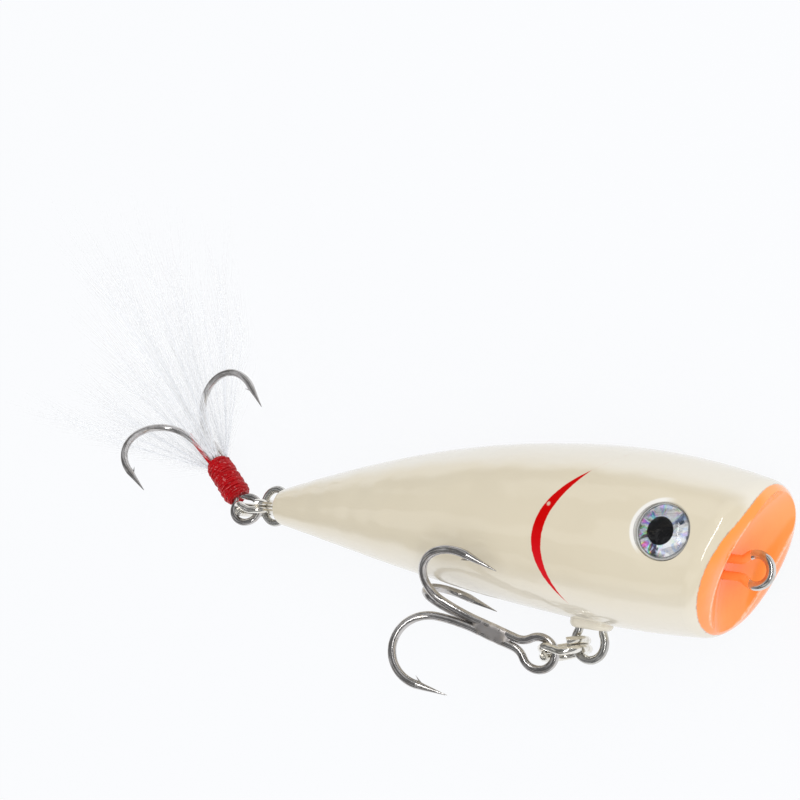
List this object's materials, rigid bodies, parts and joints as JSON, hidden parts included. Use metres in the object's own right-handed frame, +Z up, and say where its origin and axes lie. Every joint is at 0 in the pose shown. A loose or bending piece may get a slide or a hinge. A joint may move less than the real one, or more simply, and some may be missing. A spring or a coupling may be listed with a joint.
{
  "type": "topwater popper",
  "caption": "Round-bodied floating fishing lure with a cupped mouth, treble hooks on split rings and a feathered tail.",
  "frame": {"origin": "on the surface the lure lies on, under the middle of its overall box", "axes": "the lure lies on its left flank: +X from the tail towards the mouth, +Y towards the back, +Z up out of the right flank"},
  "size_m": [0.1204, 0.0564, 0.0324],
  "materials": {
    "bone_shell": "gloss, painted: ivory body, orange mouth and red gill stroke",
    "steel_wire": "bright drawn wire",
    "inner_steel": "plain",
    "eye_foil": "prismatic foil with a black pupil",
    "clear_dome": "clear",
    "plated_ring": "polished",
    "hook_metal": "dark bright plating",
    "braze_metal": "dull",
    "red_thread": "varnished thread",
    "red_strand": "soft",
    "white_feather": "soft, airy"
  },
  "bodies": {
    "lure_body": {"right_shell": "bone_shell", "left_shell": "bone_shell", "line_tie_eye": "steel_wire", "belly_wire_eye": "steel_wire", "tail_wire_eye": "steel_wire", "tail_weight": "inner_steel", "right_eye_foil": "eye_foil", "right_eye_dome": "clear_dome", "left_eye_foil": "eye_foil", "left_eye_dome": "clear_dome"},
    "front_ball": {"front_rattle_ball": "inner_steel"},
    "rear_ball": {"rear_rattle_ball": "inner_steel"},
    "belly_ring": {"belly_split_ring": "plated_ring"},
    "belly_treble": {"belly_double_hook": "hook_metal", "belly_single_hook": "hook_metal", "belly_hook_braze": "braze_metal"},
    "tail_ring": {"tail_split_ring": "plated_ring"},
    "tail_treble": {"tail_double_hook": "hook_metal", "tail_single_hook": "hook_metal", "tail_hook_braze": "braze_metal", "thread_wrap": "red_thread", "red_tag": "red_strand", "feather_1": "white_feather", "feather_2": "white_feather", "feather_3": "white_feather", "feather_4": "white_feather", "feather_5": "white_feather", "feather_6": "white_feather", "feather_7": "white_feather", "feather_8": "white_feather"}
  },
  "joints": [
    {"name": "front_ball_slide", "type": "slide", "parent": "lure_body", "child": "front_ball", "axis": [1, 0, 0], "range_m": [-0.00297, 0.00297]},
    {"name": "rear_ball_slide", "type": "slide", "parent": "lure_body", "child": "rear_ball", "axis": [1, 0, 0], "range_m": [-0.00297, 0.00297]},
    {"name": "belly_ring_swing", "type": "hinge", "parent": "lure_body", "child": "belly_ring", "pos_m": [0.03979, -0.02077, 0.00985], "axis": [0, 0, 1], "range_deg": [0, 100]},
    {"name": "belly_treble_swing", "type": "hinge", "parent": "belly_ring", "child": "belly_treble", "pos_m": [0.03446, -0.02271, 0.01143], "axis": [0.416, -0.1551, 0.896], "range_deg": [0, 60]},
    {"name": "tail_ring_swing", "type": "hinge", "parent": "lure_body", "child": "tail_ring", "pos_m": [-0.00996, -0.01007, 0.00985], "axis": [0, 0, 1], "range_deg": [-50, 60]},
    {"name": "tail_treble_swing", "type": "hinge", "parent": "tail_ring", "child": "tail_treble", "pos_m": [-0.01544, -0.01094, 0.00985], "axis": [0.3693, 0.3062, 0.8774], "range_deg": [-30, 60]}
  ],
  "couplings": [
    {"joint": "rear_ball_slide", "follows": "front_ball_slide", "ratio": 1}
  ]
}
